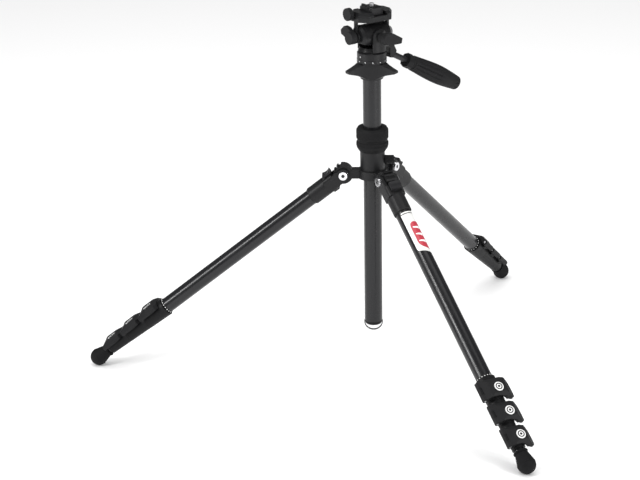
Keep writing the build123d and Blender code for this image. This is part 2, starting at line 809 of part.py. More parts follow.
tilt_wing = [
    (-lever_boss, 3),
    (-lever_boss * 0.5, lever_boss * 0.95),
    (lever_boss * 0.7, lever_boss * 0.95),
    (wing_reach, -1),
    (wing_reach - 1.5, -8),
    (0, -lever_boss * 0.95),
    (-lever_boss, -4),
]
roll_wing = [
    (lever_boss * 0.6, -lever_boss * 0.7),
    (lever_boss, 0),
    (lever_boss * 0.6, lever_boss * 0.75),
    (-6, 13.5),
    (-14, 14.5),
    (-wing_reach, 8),
    (-wing_reach + 1, 2.5),
    (-lever_boss, -2),
    (-lever_boss * 0.5, -lever_boss * 0.8),
]
tilt_boss = (tilt_lever_neck, tilt_lever_neck + lever_flange)
roll_boss = (roll_lever_neck, roll_lever_neck + wing_depth + lever_flange)
tilt_lever = make_wing_lever(cross_axis, cheek_outer, tilt_boss, tilt_wing, tilt_boss[1])
roll_lever = make_wing_lever(lens_axis, ring_outer, roll_boss, roll_wing, roll_lever_neck)
write_piece(tilt_lever.moved(head_turn), "tilt_lever")
write_piece(roll_lever.moved(head_turn), "roll_lever")

# ---------------------------------------------------------------- camera clamp
clamp_bottom = axis_height + bracket_rise
jaw_bottom = clamp_bottom + clamp_base_height
clamp_top = clamp_bottom + clamp_height
knob_axis = Plane(
    origin=(0, clamp_knob_side, jaw_bottom + 2.6), x_dir=(0, 1, 0), z_dir=(1, 0, 0)
)
clamp_outline = [
    (clamp_half_length, clamp_end_half),
    (clamp_side_half, clamp_half_width),
    (-clamp_side_half, clamp_half_width),
    (-clamp_half_length, clamp_end_half),
    (-clamp_half_length, -clamp_end_half),
    (-clamp_side_half, -clamp_half_width),
    (clamp_side_half, -clamp_half_width),
    (clamp_half_length, -clamp_end_half),
]


def channel(extra):
    """Dovetail section of the camera plate's foot, widened all round by extra."""
    top = channel_top_half + extra
    foot = channel_top_half + dovetail + extra
    Polyline(
        (-top, clamp_top + extra),
        (top, clamp_top + extra),
        (foot, jaw_bottom + gap - extra),
        (-foot, jaw_bottom + gap - extra),
        close=True,
    )


with BuildPart() as bracket:
    with BuildSketch(Plane.XY.offset(clamp_bottom)):
        with BuildLine():
            Polyline(*clamp_outline, close=True)
        make_face()
    extrude(amount=clamp_height - clamp_slope)
    with BuildSketch(Plane.XY.offset(clamp_top - clamp_slope)):
        with BuildLine():
            Polyline(*clamp_outline, close=True)
        make_face()
    extrude(amount=clamp_slope, taper=clamp_taper)
    with BuildSketch(Plane.XZ):
        with BuildLine():
            channel(gap)
        make_face()
    extrude(amount=clamp_half_width + 1, both=True, mode=Mode.SUBTRACT)
    with BuildSketch(Plane.XY.offset(jaw_bottom)):
        with Locations((jaw_start + clamp_half_length / 2, 0)):
            Rectangle(clamp_half_length, 2 * clamp_half_width + 2)
        with Locations((jaw_start / 2 + 2, 0)):
            Rectangle(jaw_start + 4, 2 * clamp_half_width + 2)
    extrude(amount=clamp_height, mode=Mode.SUBTRACT)
    for side in (-1, 1):
        with BuildSketch(lens_axis.offset(side * (ring_inner + ring_thickness / 2))):
            Circle(ring_radius)
            with Locations((0, bracket_rise / 2)):
                Rectangle(arm_width, bracket_rise)
            Circle(trunnion_radius + running, mode=Mode.SUBTRACT)
        extrude(amount=ring_thickness / 2, both=True)
    with BuildSketch(knob_axis):
        Circle(clamp_screw_radius + running)
    extrude(amount=clamp_half_length, both=True, mode=Mode.SUBTRACT)
write_piece(bracket.part.moved(head_turn), "platform_bracket")

with BuildPart() as jaw:
    with BuildSketch(Plane.XY.offset(jaw_bottom + gap)):
        with BuildLine():
            Polyline(*clamp_outline, close=True)
        make_face()
    extrude(amount=clamp_height - clamp_base_height - gap - clamp_slope)
    with BuildSketch(Plane.XY.offset(clamp_top - clamp_slope)):
        with BuildLine():
            Polyline(*clamp_outline, close=True)
        make_face()
    extrude(amount=clamp_slope, taper=clamp_taper)
    with BuildSketch(Plane.XZ):
        with BuildLine():
            channel(gap)
        make_face()
    extrude(amount=clamp_half_width + 1, both=True, mode=Mode.SUBTRACT)
    with BuildSketch(Plane.XY.offset(jaw_bottom)):
        with Locations((-clamp_half_length / 2, 0)):
            Rectangle(clamp_half_length, 2 * clamp_half_width + 2)
    extrude(amount=clamp_height, mode=Mode.SUBTRACT)
    with BuildSketch(knob_axis):
        Circle(clamp_screw_radius + running)
    extrude(amount=clamp_half_length + 1, mode=Mode.SUBTRACT)
write_piece(jaw.part.moved(head_turn), "clamp_jaw")

with BuildPart() as clamp_knob:
    knob_seat = clamp_half_length + jaw_travel + gap
    with BuildSketch(knob_axis.offset(knob_seat - clamp_screw_length)):
        Circle(clamp_screw_radius)
    extrude(amount=clamp_screw_length)
    with BuildSketch(knob_axis.offset(knob_seat)):
        Circle(clamp_knob_radius)
        with PolarLocations(clamp_knob_radius + 0.4, 20):
            Circle(0.8, mode=Mode.SUBTRACT)
    extrude(amount=clamp_knob_length)
write_piece(clamp_knob.part.moved(head_turn), "clamp_knob")

with BuildPart() as plate:
    with BuildSketch(Plane.XZ):
        with BuildLine():
            channel(0)
        make_face()
    extrude(amount=plate_half_width, both=True)
    with BuildSketch(Plane.XY.offset(clamp_top)):
        Rectangle(2 * plate_half_length, 2 * plate_half_width)
    extrude(amount=plate_flange)
    chamfer(plate.edges().filter_by(Axis.Z), 2.5)
    with BuildSketch(Plane.XY.offset(clamp_top + plate_flange - gap)):
        with Locations((plate_half_length, 0)):
            Rectangle(2 * (lip_thickness + gap), 2 * plate_half_width)
    extrude(amount=gap, mode=Mode.SUBTRACT)
    with BuildSketch(Plane.YZ.offset(plate_half_length - lip_thickness)):
        with Locations((0, clamp_top + plate_flange - gap + lip_height / 2)):
            RectangleRounded(15, lip_height, 1.8)
            RectangleRounded(11, lip_height - 2.8, 1.0, mode=Mode.SUBTRACT)
    extrude(amount=lip_thickness)
    with BuildSketch(Plane.XY.offset(jaw_bottom)):
        Circle(screw_neck_radius + running)
    extrude(amount=clamp_height, mode=Mode.SUBTRACT)
    with BuildSketch(Plane.XY.offset(jaw_bottom)):
        Circle(screw_head_radius + gap)
    extrude(amount=gap + screw_head_height + gap, mode=Mode.SUBTRACT)
    with BuildSketch(Plane.XY.offset(clamp_top + plate_flange)):
        Circle(screw_radius + gap)
    extrude(amount=-screw_sink, mode=Mode.SUBTRACT)
write_piece(plate.part.moved(head_turn), "camera_plate")

with BuildPart() as camera_screw:
    with BuildSketch(Plane.XY.offset(jaw_bottom + gap)):
        Circle(screw_head_radius)
    extrude(amount=screw_head_height)
    with BuildSketch(Plane.XY.offset(jaw_bottom + gap)):
        Circle(screw_neck_radius)
    extrude(amount=clamp_top + plate_flange + gap - jaw_bottom - gap)
    with BuildSketch(Plane.XY.offset(clamp_top + plate_flange + gap)):
        Circle(screw_radius)
    extrude(amount=screw_rise - gap)
    chamfer(camera_screw.faces().sort_by(Axis.Z)[-1].edges(), 0.6)
    with BuildSketch(Plane.XY.offset(jaw_bottom)):
        Rectangle(2 * screw_head_radius + 1, 1.6)
    extrude(amount=gap + 1.2, mode=Mode.SUBTRACT)
write_piece(camera_screw.part.moved(head_turn), "camera_screw")

# ---------------------------------------------------------------- handle
grip_start = 4.0 + rod_visible
with BuildPart() as rod:
    with BuildSketch(handle_axis.offset(-rod_seat)):
        Circle(rod_radius)
    extrude(amount=rod_seat + grip_start + grip_overlap)
write_piece(rod.part.moved(head_turn), "handle_rod")

with BuildPart() as grip:
    with BuildSketch(Plane.XZ):
        with BuildLine():
            front = (grip_front_radius, grip_start)
            middle = (grip_middle_radius, grip_start + grip_length * 0.62)
            back = (grip_end_radius + 1.2, grip_start + grip_length * 0.93)
            Line((0, grip_start), front)
            Line(front, (grip_front_radius, grip_start + 9))
            Spline((grip_front_radius, grip_start + 9), middle, back)
            Line(back, (grip_end_radius - 1.5, grip_start + grip_length))
            Line((grip_end_radius - 1.5, grip_start + grip_length), (0, grip_start + grip_length))
            Line((0, grip_start + grip_length), (0, grip_start))
        make_face()
    revolve(axis=Axis.Z)
    with BuildSketch(Plane.XY.offset(grip_start)):
        Circle(rod_radius)
    extrude(amount=grip_overlap, mode=Mode.SUBTRACT)
write_piece(grip.part.moved(head_turn * handle_axis.location), "handle_grip")
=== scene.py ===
import json
from math import cos, pi, radians, sin, sqrt, tau

import bpy
from mathutils import Matrix, Vector


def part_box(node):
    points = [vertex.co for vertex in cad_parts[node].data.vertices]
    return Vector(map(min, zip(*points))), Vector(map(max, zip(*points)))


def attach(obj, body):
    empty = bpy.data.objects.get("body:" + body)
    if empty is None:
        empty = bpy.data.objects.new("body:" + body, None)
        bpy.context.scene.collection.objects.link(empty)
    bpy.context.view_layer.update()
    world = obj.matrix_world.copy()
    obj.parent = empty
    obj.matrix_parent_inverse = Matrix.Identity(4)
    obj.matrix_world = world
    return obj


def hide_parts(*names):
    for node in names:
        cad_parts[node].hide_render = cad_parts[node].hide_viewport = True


# Looks for the folding travel tripod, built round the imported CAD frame.
# The scene is in metres. Sizes of pieces below are in millimetres and turned into metres by MM.

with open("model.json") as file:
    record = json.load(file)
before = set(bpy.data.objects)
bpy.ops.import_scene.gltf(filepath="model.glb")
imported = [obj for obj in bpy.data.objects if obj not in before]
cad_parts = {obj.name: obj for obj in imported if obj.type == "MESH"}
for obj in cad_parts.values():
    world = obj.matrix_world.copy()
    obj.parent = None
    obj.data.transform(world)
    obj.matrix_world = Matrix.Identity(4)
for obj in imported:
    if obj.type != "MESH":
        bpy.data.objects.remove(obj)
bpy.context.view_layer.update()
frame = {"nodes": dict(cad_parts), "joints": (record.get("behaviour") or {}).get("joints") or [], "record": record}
MM = 0.001
LEGS = ("front", "rear", "left")
joints = {joint["name"]: joint for joint in frame["joints"]}
record_colour = {m["slot"]: m["base_color"] for m in frame["record"]["materials"]}
part_slot = {part["node"]: part["material_slot"] for part in frame["record"]["subparts"]}


# ---------------------------------------------------------------- materials
def add_node(tree, kind, **values):
    """Adds a shader node; values set its properties or, where the name is a socket, its default."""
    node = tree.nodes.new(kind)
    for name, value in values.items():
        if hasattr(node, name):
            setattr(node, name, value)
        else:
            node.inputs[name.replace("_", " ")].default_value = value
    return node


def shade(colour, factor):
    return tuple(min(1.0, c * factor) for c in colour[:3]) + (1.0,)


def make_material(name, colour, rough, metallic=0.0, grain_mm=0.3, grain=0.2, mottle=0.25,
                  edge_highlight=1.6, specular=0.5, coat=0.0, pattern="noise", round_mm=0.4):
    """Principled surface with grain in its bump, mottled colour and roughness, and a painted highlight: paler colour
    along its edges, broken up by noise.
    """
    material = bpy.data.materials.new(name)
    material.use_nodes = True
    tree = material.node_tree
    link = tree.links.new
    shader = tree.nodes["Principled BSDF"]
    shader.inputs["Metallic"].default_value = metallic
    shader.inputs["Specular IOR Level"].default_value = specular
    shader.inputs["Coat Weight"].default_value = coat
    shader.inputs["Coat Roughness"].default_value = 0.25
    place = add_node(tree, "ShaderNodeTexCoord")
    clouds = add_node(tree, "ShaderNodeTexNoise", Scale=60.0, Detail=6.0, Roughness=0.65)
    link(place.outputs["Object"], clouds.inputs["Vector"])

    # painted highlight on edges: paler colour where the rounded normal leaves the surface's own normal, broken up by
    # noise
    geometry = add_node(tree, "ShaderNodeNewGeometry")
    rounding = add_node(tree, "ShaderNodeBevel", samples=6, Radius=round_mm * MM) if round_mm else geometry
    facing = add_node(tree, "ShaderNodeVectorMath", operation="DOT_PRODUCT")
    link(rounding.outputs["Normal"], facing.inputs[0])
    link(geometry.outputs["Normal"], facing.inputs[1])
    edge_highlight_mask = add_node(tree, "ShaderNodeMapRange", From_Min=0.995, From_Max=0.88, To_Min=0.0, To_Max=1.0)
    link(facing.outputs["Value"], edge_highlight_mask.inputs["Value"])
    broken_edge_highlight = add_node(tree, "ShaderNodeMath", operation="MULTIPLY")
    link(edge_highlight_mask.outputs["Result"], broken_edge_highlight.inputs[0])
    link(clouds.outputs["Fac"], broken_edge_highlight.inputs[1])

    body = add_node(tree, "ShaderNodeMix", data_type="RGBA")
    body.inputs["A"].default_value = shade(colour, 1.0 - mottle)
    body.inputs["B"].default_value = shade(colour, 1.0 + mottle)
    link(clouds.outputs["Fac"], body.inputs["Factor"])
    edge_highlighted = add_node(tree, "ShaderNodeMix", data_type="RGBA")
    edge_highlighted.inputs["B"].default_value = shade(colour, edge_highlight)
    link(broken_edge_highlight.outputs["Value"], edge_highlighted.inputs["Factor"])
    link(body.outputs["Result"], edge_highlighted.inputs["A"])
    link(edge_highlighted.outputs["Result"], shader.inputs["Base Color"])

    gloss = add_node(tree, "ShaderNodeMapRange", From_Min=0.3, From_Max=0.7,
                     To_Min=rough - 0.06, To_Max=rough + 0.06)
    link(clouds.outputs["Fac"], gloss.inputs["Value"])
    link(gloss.outputs["Result"], shader.inputs["Roughness"])

    if pattern == "cells":
        grit = add_node(tree, "ShaderNodeTexVoronoi", Scale=1.0 / (grain_mm * MM))
        height = grit.outputs["Distance"]
    else:
        grit = add_node(tree, "ShaderNodeTexNoise", Scale=1.0 / (grain_mm * MM), Detail=3.0)
        height = grit.outputs["Fac"]
    link(place.outputs["Object"], grit.inputs["Vector"])
    bump = add_node(tree, "ShaderNodeBump", Strength=grain, Distance=grain_mm * MM * 0.3)
    link(height, bump.inputs["Height"])
    link(rounding.outputs["Normal"], bump.inputs["Normal"])
    link(bump.outputs["Normal"], shader.inputs["Normal"])
    return material


BLACK_DEPTH = 0.24              # blacks are lit by a white room, so they start darker than they read
# each finish's edge factor sets its painted edge highlight, a paler colour along its edges
FINISHES = {
    "anodised_tube": dict(rough=0.25, specular=0.4, grain_mm=0.25, grain=0.02, mottle=0.04, round_mm=0),
    "lever_plastic": dict(specular=0.16, rough=0.50, grain_mm=0.45, grain=0.35, mottle=0.18, edge_highlight=1.8),
    "clamp_plastic": dict(specular=0.16, rough=0.45, grain_mm=0.45, grain=0.30, mottle=0.18, edge_highlight=1.6),
    "tab_plastic": dict(specular=0.16, rough=0.42, grain_mm=0.45, grain=0.25, mottle=0.15, edge_highlight=1.8),
    "knob_plastic": dict(specular=0.16, rough=0.48, grain_mm=0.45, grain=0.30, mottle=0.15, edge_highlight=1.8),
    "foot_rubber": dict(specular=0.16, rough=0.70, grain_mm=0.7, grain=0.45, mottle=0.25, edge_highlight=1.5),
    "collar_rubber": dict(specular=0.16, rough=0.62, grain_mm=0.6, grain=0.5, mottle=0.2, edge_highlight=1.6, pattern="cells"),
    "grip_rubber": dict(specular=0.16, rough=0.62, grain_mm=0.7, grain=0.5, mottle=0.2, edge_highlight=1.5, pattern="cells"),
    "casting_paint": dict(rough=0.46, specular=0.2, grain_mm=0.6, grain=0.40, mottle=0.15, edge_highlight=2.2, coat=0.1),
    "head_paint": dict(rough=0.36, specular=0.22, grain_mm=0.5, grain=0.30, mottle=0.12, edge_highlight=2.2, coat=0.1),
    "rod_paint": dict(rough=0.34, specular=0.3, grain_mm=0.3, grain=0.12, mottle=0.10, edge_highlight=2.0),
    "bolt_chrome": dict(rough=0.22, metallic=1.0, grain_mm=0.2, grain=0.06, mottle=0.05, edge_highlight=1.1),
    "hook_steel": dict(rough=0.38, metallic=0.9, grain_mm=0.2, grain=0.15, mottle=0.15, edge_highlight=2.0),
    "screw_steel": dict(rough=0.32, metallic=1.0, grain_mm=0.2, grain=0.12, mottle=0.10, edge_highlight=1.3),
    "plate_aluminium": dict(rough=0.40, specular=0.3, grain_mm=0.3, grain=0.25, mottle=0.12, edge_highlight=2.4),
    "cap_grey": dict(rough=0.45, grain_mm=0.4, grain=0.20, mottle=0.10, edge_highlight=1.2),
    "badge_white": dict(rough=0.35, grain_mm=0.4, grain=0.05, mottle=0.03, edge_highlight=1.0, coat=0.4),
    "badge_ink": dict(rough=0.40, grain_mm=0.4, grain=0.05, mottle=0.05, edge_highlight=1.0),
    "label_foil": dict(rough=0.30, grain_mm=0.5, grain=0.05, mottle=0.08, edge_highlight=1.0, coat=0.5),
    "label_red": dict(rough=0.32, grain_mm=0.5, grain=0.05, mottle=0.10, edge_highlight=1.0, coat=0.5),
}


def deepened(colour):
    return shade(colour, BLACK_DEPTH) if max(colour[:3]) < 0.1 else shade(colour, 1.0)


materials = {
    slot: make_material(slot, deepened(record_colour[slot]), **finish)
    for slot, finish in FINISHES.items() if slot in record_colour
}
for name, node in frame["nodes"].items():
    node.data.materials.clear()
    node.data.materials.append(materials[part_slot[name]])


# ---------------------------------------------------------------- local frames
def basis(origin, x_dir, z_dir):
    """Matrix of a local frame in metres: origin in the row frame, and the directions of x and z."""
    z_axis = Vector(z_dir).normalized()
    x_axis = (Vector(x_dir) - z_axis * z_axis.dot(Vector(x_dir))).normalized()
    y_axis = z_axis.cross(x_axis)
    matrix = Matrix((x_axis, y_axis, z_axis)).transposed().to_4x4()
    matrix.translation = Vector(origin)
    return matrix


def leg_frame(leg):
    """Origin on the leg's pivot, z down the leg, x out of its upper face."""
    down = Vector(joints[f"{leg}_section_2_slide"]["axis"])
    across = Vector(joints[f"{leg}_leg_fold"]["axis"])
    return basis(joints[f"{leg}_leg_fold"]["pos_m"], down.cross(across), down)


head_origin = Vector(joints["tilt"]["pos_m"])
lens_dir = Vector(joints["roll"]["axis"])
cross_dir = Vector(joints["tilt"]["axis"])
head_frame = basis(head_origin, lens_dir, (0, 0, 1))
column_frame = basis((0, 0, 0), (1, 0, 0), (0, 0, 1))
handle_frame = basis(joints["handle_twist"]["pos_m"], cross_dir, joints["handle_twist"]["axis"])


# ---------------------------------------------------------------- shapes, in millimetres
def lathe(profile, steps=48, closed=False):
    """Surface of revolution about z from (radius, z) points; closed joins the last point to the first."""
    verts, faces = [], []
    for radius, height in profile:
        for step in range(steps):
            turn = tau * step / steps
            verts.append((radius * cos(turn), radius * sin(turn), height))
    rows = len(profile)
    for row in range(rows if closed else rows - 1):
        below, above = row * steps, (row + 1) % rows * steps
        for step in range(steps):
            after = (step + 1) % steps
            faces.append((below + step, below + after, above + after, above + step))
    if not closed:
        faces.append(tuple(reversed(range(steps))))
        faces.append(tuple(range((rows - 1) * steps, rows * steps)))
    return verts, faces


def slab(outline, low, high):
    """Prism on an outline of (x, y) points, from z = low to z = high."""
    count = len(outline)
    verts = [(x, y, low) for x, y in outline] + [(x, y, high) for x, y in outline]
    faces = [tuple(reversed(range(count))), tuple(range(count, 2 * count))]
    for i in range(count):
        after = (i + 1) % count
        faces.append((i, after, count + after, count + i))
    return verts, faces


def wrapped_patch(radius, thickness, low, high, turn_low, turn_high, steps=24, corner=0.0, slant=0.0):
    """Thin patch wrapped on a cylinder about z. corner rounds it, slant lowers the end at turn_high."""
    verts, faces = [], []
    for level in (radius, radius + thickness):
        for step in range(steps + 1):
            share = step / steps
            turn = radians(turn_low + (turn_high - turn_low) * share)
            from_end = min(share, 1 - share) * radians(abs(turn_high - turn_low)) * radius
            pull = 0.0
            if from_end < corner:
                pull = corner - sqrt(corner ** 2 - (corner - from_end) ** 2)
            verts.append((level * cos(turn), level * sin(turn), low + pull))
            verts.append((level * cos(turn), level * sin(turn), high - pull + slant * share))
    count = 2 * (steps + 1)
    for step in range(steps):
        a = 2 * step
        faces.append((a, a + 1, a + 3, a + 2))
        faces.append((count + a, count + a + 2, count + a + 3, count + a + 1))
        faces.append((a, a + 2, count + a + 2, count + a))
        faces.append((a + 1, count + a + 1, count + a + 3, a + 3))
    faces.append((0, count, count + 1, 1))
    faces.append((count - 2, count - 1, 2 * count - 1, 2 * count - 2))
    return verts, faces


def moved(shape, offset=(0, 0, 0), turn=0.0, tilt=None):
    """Shape turned about z by turn degrees and then moved; tilt is a matrix applied first."""
    spin = Matrix.Rotation(radians(turn), 4, "Z")
    place = Matrix.Translation(offset) @ spin
    if tilt is not None:
        place = place @ tilt
    return [tuple(place @ Vector(v)) for v in shape[0]], shape[1]


def joined(shapes):
    verts, faces = [], []
    for more_verts, more_faces in shapes:
        start = len(verts)
        verts += more_verts
        faces += [tuple(i + start for i in face) for face in more_faces]
    return verts, faces


def add_piece(name, shape, local, body, slot, bevel_mm=0.0, smooth_deg=40):
    """Makes the piece's mesh in the given local frame and rides it on a body."""
    mesh = bpy.data.meshes.new(name)
    to_row = local @ Matrix.Scale(MM, 4)
    mesh.from_pydata([to_row @ Vector(v) for v in shape[0]], [], shape[1])
    mesh.materials.append(materials[slot])
    piece = bpy.data.objects.new(name, mesh)
    bpy.context.scene.collection.objects.link(piece)
    for face in mesh.polygons:
        face.use_smooth = True
    mesh.set_sharp_from_angle(angle=radians(smooth_deg))
    if bevel_mm:
        bevel = piece.modifiers.new("rounding", "BEVEL")
        bevel.width = bevel_mm * MM
        bevel.segments = 2
        bevel.limit_method = "ANGLE"
    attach(piece, body)
    return piece


LIE_OUT = Matrix.Rotation(pi / 2, 4, "Y")       # turns a shape's +z to +x


def dome(radius, rise, steps=24):
    """Low round button, its base on z = 0."""
    return lathe([(radius, -0.3), (radius, 0.0), (radius * 0.92, rise * 0.6), (radius * 0.6, rise), (0.01, rise)], steps)


def ring(outer, inner, low, high, steps=48):
    return lathe([(inner, low), (outer, low), (outer, high), (inner, high)], steps, closed=True)


def arc_rib(outer, inner, low, high, middle_deg, half_deg, steps=40):
    """Part of a ring about z, from middle_deg - half_deg to middle_deg + half_deg."""
    verts, faces = [], []
    for step in range(steps + 1):
        turn = radians(middle_deg - half_deg + 2 * half_deg * step / steps)
        for radius, z in ((inner, low), (outer, low), (outer, high), (inner, high)):
            verts.append((radius * cos(turn), radius * sin(turn), z))
    for step in range(steps):
        for side in range(4):
            after = (side + 1) % 4
            faces.append((4 * step + side, 4 * step + after, 4 * step + 4 + after, 4 * step + 4 + side))
    faces.append((3, 2, 1, 0))
    faces.append(tuple(range(4 * steps, 4 * steps + 4)))
    return verts, faces


# ---------------------------------------------------------------- legs
TUBE_RADIUS = (11.0, 9.5, 8.0, 6.5)
CLAMP_WALL = 2.5
LEVER_CROWN = 0.8               # lever's face beyond the hinge pin's offset
RECESS_DEPTH = 1.2              # badge's recess in the lever's face
LEVER_HALF = 13.25
BADGE_SIDE = 4.0
BADGE_RADIUS = 6.5
LABEL_TOP, LABEL_END = 59.0, 120.0
LABEL_TURNS = (56.0, -76.0)
SHOULDER_END = 55.0
BOLT_FACE = 15.8                # outer face of a pivot bolt's head from the leg's middle plane
BOLT_SOCKET = 2.5


def lever_details(leg, number, local):
    """Badge, its mark and hinge pin ends of one flip lever."""
    hinge = local.inverted() @ Vector(joints[f"{leg}_lever_{number}_flip"]["pos_m"]) / MM
    crown = hinge.y + LEVER_CROWN
    middle = hinge.z
    body = f"{leg}_lever_{number}"
    top = middle - LEVER_HALF
    badge = (crown - RECESS_DEPTH - 0.1, -BADGE_SIDE, top + 15.0)
    add_piece(f"{leg}_badge_{number}", moved(lathe(
        [(BADGE_RADIUS, 0.0), (BADGE_RADIUS, 0.5), (BADGE_RADIUS - 0.4, 0.75), (0.01, 0.85)], 40),
        badge, tilt=LIE_OUT), local, body, "badge_white")
    marks = [ring(4.7, 3.3, 0.5, 0.98, 36), lathe([(1.7, 0.5), (1.7, 0.98), (0.01, 0.98)], 24)]
    add_piece(f"{leg}_badge_mark_{number}", moved(joined(marks), badge, tilt=LIE_OUT), local, body, "badge_ink")
    pins = [
        moved(dome(1.9, 0.5, 20), (hinge.x, hinge.y, top + 2 * LEVER_HALF)),
        moved(dome(1.9, 0.5, 20), (hinge.x, hinge.y, top), tilt=Matrix.Rotation(pi, 4, "X")),
    ]
    add_piece(f"{leg}_hinge_pin_{number}", joined(pins), local, body, "screw_steel")


for leg in LEGS:
    local = leg_frame(leg)
    for number in (1, 2, 3):
        lever_details(leg, number, local)
    lock_top = (local.inverted() @ Vector(joints[f"{leg}_lever_1_flip"]["pos_m"]) / MM).z - 18.5
    beads = [ring(TUBE_RADIUS[0] + 0.45, TUBE_RADIUS[0] - 0.1, lock_top - 3.4, lock_top - 0.2, 48)]
    add_piece(f"{leg}_wiper_ring", joined(beads), local, f"{leg}_leg", "clamp_plastic", bevel_mm=0.15)
    dots = []
    for step in range(18):
        turn = 20.0 * step
        dots.append(moved(moved(dome(0.75, 0.35, 10), (TUBE_RADIUS[0] + 0.4, 0, lock_top - 1.8), tilt=LIE_OUT), turn=turn))
    add_piece(f"{leg}_wiper_dots", joined(dots), local, f"{leg}_leg", "badge_white")
    add_piece(f"{leg}_shoulder_ring", ring(TUBE_RADIUS[0] + 0.6, TUBE_RADIUS[0] - 0.1, SHOULDER_END - 0.2,
              SHOULDER_END + 1.2), local, f"{leg}_leg", "clamp_plastic", bevel_mm=0.2)
    # dark ink hexagons on the pivot bolts' heads: painted shade standing for their shadowed hex sockets, drawn as flat
    # patches
    socket_shade = [slab([(BOLT_SOCKET * cos(step * pi / 3), BOLT_SOCKET * sin(step * pi / 3)) for step in range(6)],
                    BOLT_FACE - 0.2, BOLT_FACE + 0.06)]
    socket_shade.append(moved(socket_shade[0], tilt=Matrix.Rotation(pi, 4, "X")))
    stand_across = Matrix.Rotation(pi / 2, 4, "X")
    add_piece(f"{leg}_bolt_socket_shade", moved(joined(socket_shade), tilt=stand_across), local, "spider", "badge_ink")
    treads = [ring(12.45, 11.6, 446.2, 447.4, 40), ring(11.2, 10.4, 451.0, 451.9, 40), ring(9.9, 9.0, 429.4, 430.4, 40)]
    add_piece(f"{leg}_foot_rings", joined(treads), local, f"{leg}_section_4", "foot_rubber", bevel_mm=0.2)
local = leg_frame("front")
tube = TUBE_RADIUS[0]
add_piece("front_label", wrapped_patch(tube + 0.02, 0.1, LABEL_TOP, LABEL_END, *LABEL_TURNS, corner=3.0, slant=9.0),
          local, "front_leg", "label_foil")
add_piece("front_label_band", wrapped_patch(tube + 0.13, 0.05, LABEL_TOP + 2.2, LABEL_TOP + 3.4, *LABEL_TURNS),
          local, "front_leg", "badge_ink")
add_piece("front_label_red", wrapped_patch(tube + 0.13, 0.06, LABEL_TOP + 17, LABEL_END - 5, 26, -74, corner=7.0,
          slant=9.0), local, "front_leg", "label_red")
stripes = []
for step in range(3):
    low = LABEL_TOP + 25 + 11 * step
    stripes.append(wrapped_patch(tube + 0.2, 0.05, low, low + 1.6, 14, -40, slant=3.0))
add_piece("front_label_stripes", joined(stripes), local, "front_leg", "badge_white")

# ---------------------------------------------------------------- column
collar_low, collar_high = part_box("column_collar")
collar_bottom, collar_radius = collar_low.z / MM, collar_high.x / MM


def knurl(radius, low, high, columns, rows, depth):
    """Band of small pyramids round a cylinder about z."""
    shapes = []
    wide, tall = tau / columns, (high - low) / rows
    for row in range(rows):
        for column in range(columns):
            turn = wide * (column + 0.5 * (row % 2))
            z = low + tall * (row + 0.5)
            verts = []
            for dt, dz in ((-0.46, -0.46), (0.46, -0.46), (0.46, 0.46), (-0.46, 0.46)):
                verts.append(((radius - 0.05) * cos(turn + dt * wide), (radius - 0.05) * sin(turn + dt * wide), z + dz * tall))
            for dt, dz in ((-0.2, -0.2), (0.2, -0.2), (0.2, 0.2), (-0.2, 0.2)):
                verts.append(((radius + depth) * cos(turn + dt * wide), (radius + depth) * sin(turn + dt * wide), z + dz * tall))
            faces = [(0, 1, 5, 4), (1, 2, 6, 5), (2, 3, 7, 6), (3, 0, 4, 7), (4, 5, 6, 7)]
            shapes.append((verts, faces))
    return joined(shapes)


add_piece("collar_knurl_upper", knurl(collar_radius, collar_bottom + 18.6, collar_bottom + 30.0, 64, 6, 0.35),
          column_frame, "collar", "collar_rubber", smooth_deg=20)
add_piece("collar_knurl_lower", knurl(collar_radius, collar_bottom + 7.6, collar_bottom + 12.6, 64, 3, 0.35),
          column_frame, "collar", "collar_rubber", smooth_deg=20)
add_piece("collar_waist_ring", ring(collar_radius - 1.1, collar_radius - 1.6, collar_bottom + 15.0,
          collar_bottom + 16.0), column_frame, "collar", "clamp_plastic", bevel_mm=0.15)

pan_low, pan_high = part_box("pan_base")
base_low, base_radius = pan_low.z / MM, pan_high.x / MM
studs = []
for step in range(12):
    studs.append(moved(moved(dome(0.95, 0.45, 14), (base_radius - 0.05, 0, base_low + 2.6), tilt=LIE_OUT), turn=-85 + 30 * step))
studs.append(moved(moved(dome(1.3, 0.3, 18), (base_radius - 0.05, 0, base_low + 9.4), tilt=LIE_OUT), turn=-140))
add_piece("pan_base_studs", joined(studs), column_frame, "column", "screw_steel")
add_piece("pan_base_skirt", ring(base_radius + 0.35, base_radius - 0.3, base_low + 0.3, base_low + 1.1),
          column_frame, "column", "head_paint", bevel_mm=0.2)
add_piece("pan_base_groove", ring(base_radius + 0.3, base_radius - 0.3, base_low + 4.4, base_low + 5.2),
          column_frame, "column", "head_paint", bevel_mm=0.2)

# ---------------------------------------------------------------- head
BRACKET_RISE = 21.5
CLAMP_TOP = BRACKET_RISE + 12.5
PLATE_TOP = CLAMP_TOP + 4.3
DRUM_RADIUS = 15.5
bands = []
for at in (-17.5, -9.0, 9.0, 17.5):
    bands.append(arc_rib(DRUM_RADIUS + 0.25, DRUM_RADIUS - 0.3, at - 0.5, at + 0.5, 180, 122))
add_piece("drum_bands", moved(joined(bands), tilt=LIE_OUT), head_frame, "tilt", "head_paint", bevel_mm=0.2)

pads = []
for side in (-1, 1):
    for rib in range(5):
        y = side * (3.6 + 1.9 * rib)
        half = 8.8 if rib < 4 else 7.6
        pads.append(slab([(-half, y - 0.6), (half - 2.2, y - 0.6), (half - 2.2, y + 0.6), (-half, y + 0.6)],
                         PLATE_TOP - 0.2, PLATE_TOP + 0.5))
add_piece("plate_pad", joined(pads), head_frame, "plate", "collar_rubber", bevel_mm=0.15)

